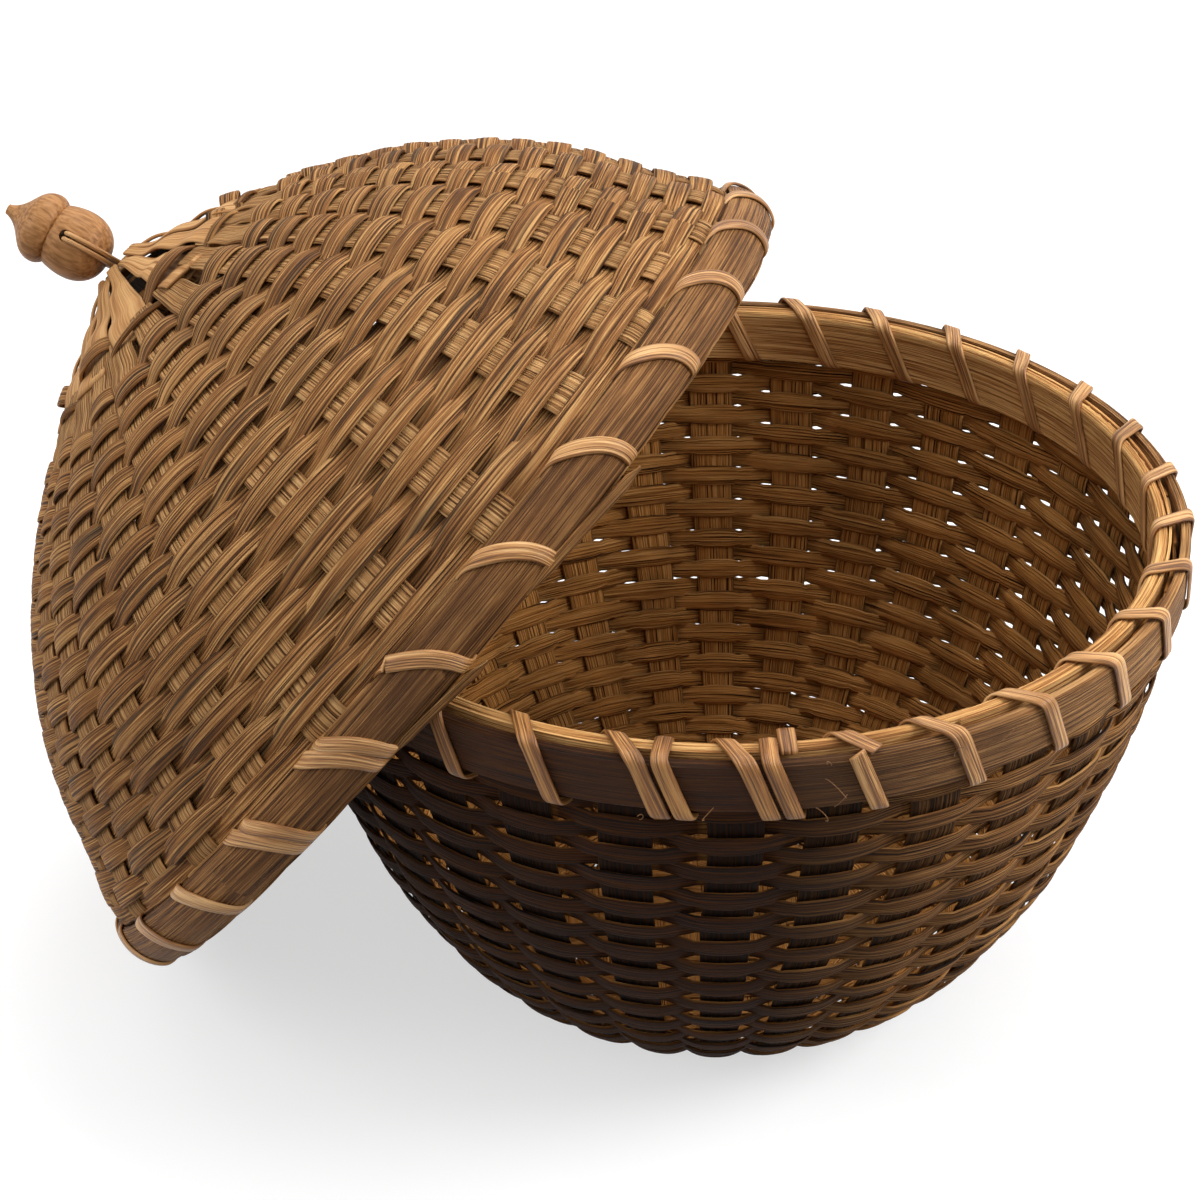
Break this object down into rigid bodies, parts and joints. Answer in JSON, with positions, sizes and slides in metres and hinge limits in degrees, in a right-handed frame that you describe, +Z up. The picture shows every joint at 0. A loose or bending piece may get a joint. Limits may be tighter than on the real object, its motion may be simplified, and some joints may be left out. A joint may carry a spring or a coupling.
{
  "type": "lidded egg basket",
  "caption": "Round woven split-bamboo bowl basket with a loose domed woven lid leaning on its rim and a turned wooden knob tied to the lid's apex.",
  "frame": {"origin": "centre of the flat base the bowl stands on", "axes": "+Z up, the lid leans toward -X"},
  "size_m": [0.3705, 0.308, 0.2575],
  "materials": {
    "weave": "aged",
    "stakes": "aged",
    "hoop": "aged",
    "splint": "aged",
    "lashing": "aged",
    "knob": "aged",
    "tie": "aged"
  },
  "bodies": {
    "bowl": {"bowl_wall": "weave", "bowl_base": "weave", "bowl_stakes": "stakes", "bowl_outer_hoop": "hoop", "bowl_inner_hoop": "hoop", "bowl_splint": "splint", "bowl_lashing_front": "lashing", "bowl_lashing_back": "lashing"},
    "lid": {"lid_wall": "weave", "lid_stakes": "stakes", "lid_outer_hoop": "hoop", "lid_inner_hoop": "hoop", "lid_splint": "splint", "lid_lashing_front": "lashing", "lid_lashing_back": "lashing", "tie_knot": "tie"},
    "knob": {"knob": "knob", "knob_tie": "tie"}
  },
  "joints": [
    {"name": "lid_swing", "type": "hinge", "parent": "bowl", "child": "lid", "pos_m": [0.00528, 0, 0.0545], "axis": [0, 1, 0], "range_deg": [0, 51.6]},
    {"name": "knob_tilt", "type": "hinge", "parent": "lid", "child": "knob", "pos_m": [-0.1943, 0.0047, 0.21564], "axis": [0, 1, 0], "range_deg": [-10, 35]}
  ]
}
